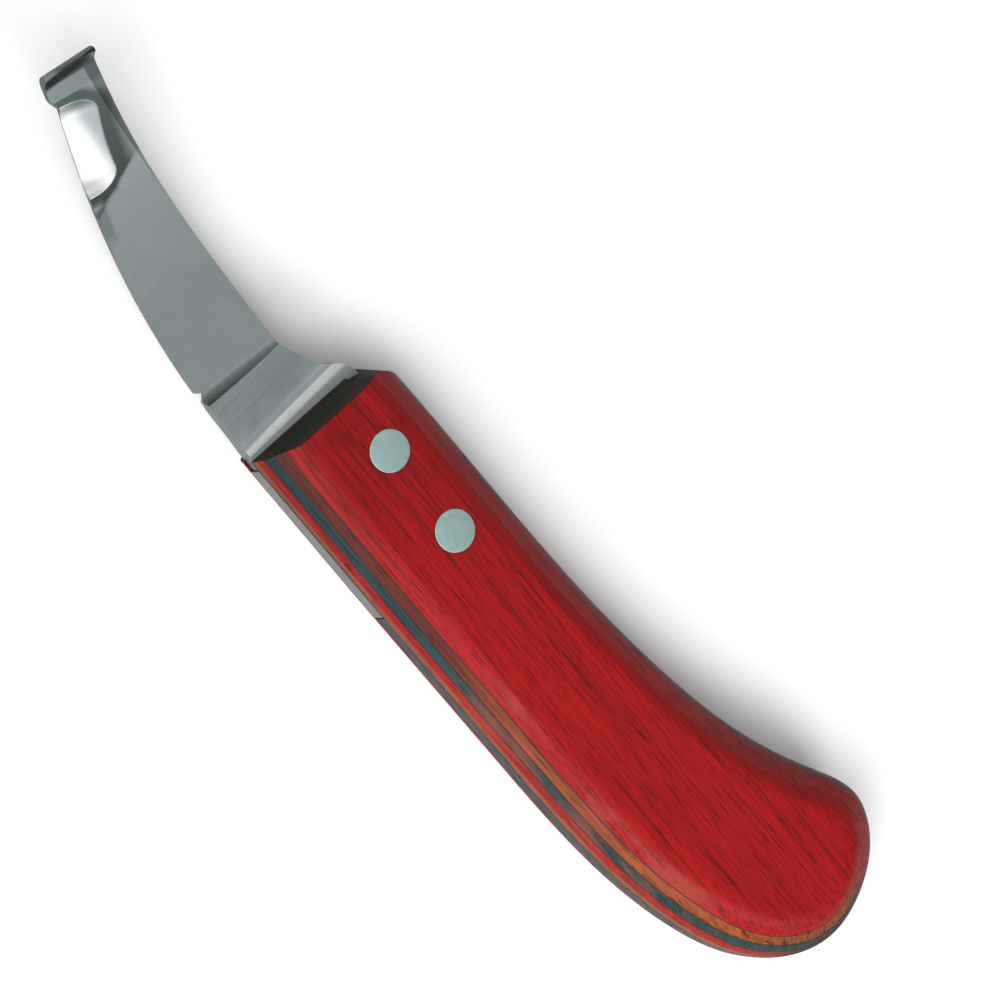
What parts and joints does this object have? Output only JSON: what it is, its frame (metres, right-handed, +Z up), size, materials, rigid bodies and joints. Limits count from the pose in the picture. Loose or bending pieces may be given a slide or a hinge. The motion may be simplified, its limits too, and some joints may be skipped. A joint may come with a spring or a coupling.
{
  "type": "hoof knife",
  "caption": "Fixed-blade hoof knife: bowed, single-edged steel blade with a curled tip, riveted into a swept handle of dyed, laminated wood.",
  "frame": {"origin": "on the flat underside of the handle, midway between the two rivets", "axes": "+X along the handle from the butt to the blade's tip, +Y from the spine to the cutting edge, +Z up through the thickness, the way the tip curls"},
  "size_m": [0.2246, 0.0487, 0.0268],
  "materials": {
    "blade_steel": "ground and lightly polished",
    "rivet_metal": "sanded flush, matte",
    "veneer_red": "dyed red, oiled",
    "veneer_dark_red": "dyed dark red, oiled",
    "veneer_teal": "dyed blue-green, oiled",
    "veneer_orange": "dyed orange-brown, oiled",
    "veneer_brown": "dyed dark brown, oiled"
  },
  "bodies": {
    "root": {"blade": "blade_steel", "ply_01": "veneer_red", "ply_02": "veneer_orange", "ply_03": "veneer_red", "ply_04": "veneer_teal", "ply_05": "veneer_orange", "ply_06": "veneer_dark_red", "ply_07": "veneer_teal", "ply_08": "veneer_teal", "ply_09": "veneer_orange", "ply_10": "veneer_red", "ply_11": "veneer_teal", "ply_12": "veneer_brown", "ply_13": "veneer_red", "rivet_front_tube": "rivet_metal", "rivet_front_pin": "rivet_metal", "rivet_rear_tube": "rivet_metal", "rivet_rear_pin": "rivet_metal"}
  },
  "joints": []
}
